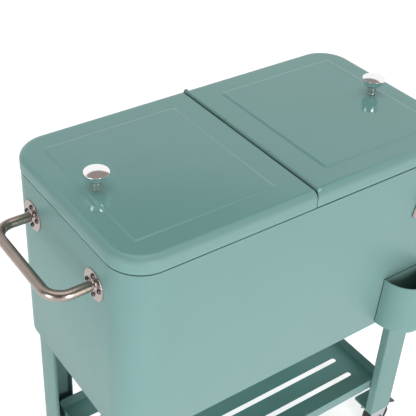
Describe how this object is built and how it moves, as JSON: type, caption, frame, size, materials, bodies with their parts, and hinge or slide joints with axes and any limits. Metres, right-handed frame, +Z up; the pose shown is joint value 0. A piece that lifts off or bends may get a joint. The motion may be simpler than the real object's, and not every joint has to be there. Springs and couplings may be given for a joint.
{
  "type": "cooler on wheels",
  "caption": "Insulated patio cooler: steel tub body with split hinged lids, end pull handles, bottle opener and cap catcher, on legs with a shelf and casters.",
  "frame": {"origin": "centre of the footprint of the whole cooler, on the floor", "axes": "+X along the length towards the end with the opener and the cap catcher, -Y out of the front wall, +Z up"},
  "size_m": [0.892, 0.457, 0.845],
  "materials": {
    "paint": "gloss",
    "stainless": "satin",
    "polished": "polished",
    "zinc": "satin",
    "liner": "satin",
    "foam": "matte",
    "seal": "matte",
    "tyre": "matte",
    "black": "satin"
  },
  "bodies": {
    "body": {"body_shell": "paint", "base_pan": "paint", "foam_core": "foam", "inner_tub": "liner", "centre_bar": "liner", "hinge_rod": "stainless", "handle_left_tube": "stainless", "handle_left_flange_front": "stainless", "handle_left_flange_back": "stainless", "handle_right_tube": "stainless", "handle_right_flange_front": "stainless", "handle_right_flange_back": "stainless", "bottle_opener": "stainless", "opener_screw_upper": "stainless", "opener_screw_lower": "stainless", "cap_catcher": "paint", "drain_spout": "black", "drain_nut": "black", "lower_shelf": "paint", "leg_front_left": "paint", "leg_back_left": "paint", "leg_front_right": "paint", "leg_back_right": "paint", "caster_front_left_mount": "zinc", "caster_back_left_mount": "zinc", "caster_front_right_mount": "zinc", "caster_back_right_mount": "zinc"},
    "drain_cap": {"drain_cap": "black"},
    "lid_left": {"lid_left_shell": "paint", "lid_left_liner": "liner", "lid_left_gasket": "seal", "knob_left_stem": "stainless", "knob_left_head": "polished", "hinge_knuckle_middle": "paint"},
    "lid_right": {"lid_right_shell": "paint", "lid_right_liner": "liner", "lid_right_gasket": "seal", "knob_right_stem": "stainless", "knob_right_head": "polished", "hinge_knuckle_front": "paint", "hinge_knuckle_back": "paint"},
    "front_left_fork": {"caster_front_left_fork": "zinc", "caster_front_left_axle": "zinc"},
    "front_left_wheel": {"caster_front_left_wheel": "black", "caster_front_left_tyre": "tyre"},
    "back_left_fork": {"caster_back_left_fork": "zinc", "caster_back_left_axle": "zinc"},
    "back_left_wheel": {"caster_back_left_wheel": "black", "caster_back_left_tyre": "tyre"},
    "front_right_fork": {"caster_front_right_fork": "zinc", "caster_front_right_axle": "zinc"},
    "front_right_wheel": {"caster_front_right_wheel": "black", "caster_front_right_tyre": "tyre"},
    "front_right_brake": {"caster_front_right_pedal": "black"},
    "back_right_fork": {"caster_back_right_fork": "zinc", "caster_back_right_axle": "zinc"},
    "back_right_wheel": {"caster_back_right_wheel": "black", "caster_back_right_tyre": "tyre"},
    "back_right_brake": {"caster_back_right_pedal": "black"}
  },
  "joints": [
    {"name": "lid_left_hinge", "type": "hinge", "parent": "body", "child": "lid_left", "pos_m": [0.0025, 0.0315, 0.809], "axis": [0, 1, 0], "range_deg": [0, 78]},
    {"name": "lid_right_hinge", "type": "hinge", "parent": "body", "child": "lid_right", "pos_m": [0.0025, 0.0315, 0.809], "axis": [0, -1, 0], "range_deg": [0, 78]},
    {"name": "drain_cap_turn", "type": "hinge", "parent": "body", "child": "drain_cap", "pos_m": [0.25, 0.1115, 0.394], "axis": [0, 0, 1], "continuous": true},
    {"name": "front_left_swivel", "type": "hinge", "parent": "body", "child": "front_left_fork", "pos_m": [-0.3125, -0.116, 0.068], "axis": [0, 0, 1], "continuous": true},
    {"name": "front_left_roll", "type": "hinge", "parent": "front_left_fork", "child": "front_left_wheel", "pos_m": [-0.2905, -0.116, 0.031], "axis": [0, 1, 0], "continuous": true},
    {"name": "back_left_swivel", "type": "hinge", "parent": "body", "child": "back_left_fork", "pos_m": [-0.3125, 0.179, 0.068], "axis": [0, 0, 1], "continuous": true},
    {"name": "back_left_roll", "type": "hinge", "parent": "back_left_fork", "child": "back_left_wheel", "pos_m": [-0.2905, 0.179, 0.031], "axis": [0, 1, 0], "continuous": true},
    {"name": "front_right_swivel", "type": "hinge", "parent": "body", "child": "front_right_fork", "pos_m": [0.3125, -0.116, 0.068], "axis": [0, 0, 1], "continuous": true},
    {"name": "front_right_roll", "type": "hinge", "parent": "front_right_fork", "child": "front_right_wheel", "pos_m": [0.3345, -0.116, 0.031], "axis": [0, 1, 0], "continuous": true},
    {"name": "front_right_brake", "type": "hinge", "parent": "front_right_fork", "child": "front_right_brake", "pos_m": [0.3465, -0.116, 0.068], "axis": [0, 1, 0], "range_deg": [0, 24]},
    {"name": "back_right_swivel", "type": "hinge", "parent": "body", "child": "back_right_fork", "pos_m": [0.3125, 0.179, 0.068], "axis": [0, 0, 1], "continuous": true},
    {"name": "back_right_roll", "type": "hinge", "parent": "back_right_fork", "child": "back_right_wheel", "pos_m": [0.3345, 0.179, 0.031], "axis": [0, 1, 0], "continuous": true},
    {"name": "back_right_brake", "type": "hinge", "parent": "back_right_fork", "child": "back_right_brake", "pos_m": [0.3465, 0.179, 0.068], "axis": [0, 1, 0], "range_deg": [0, 24]}
  ]
}
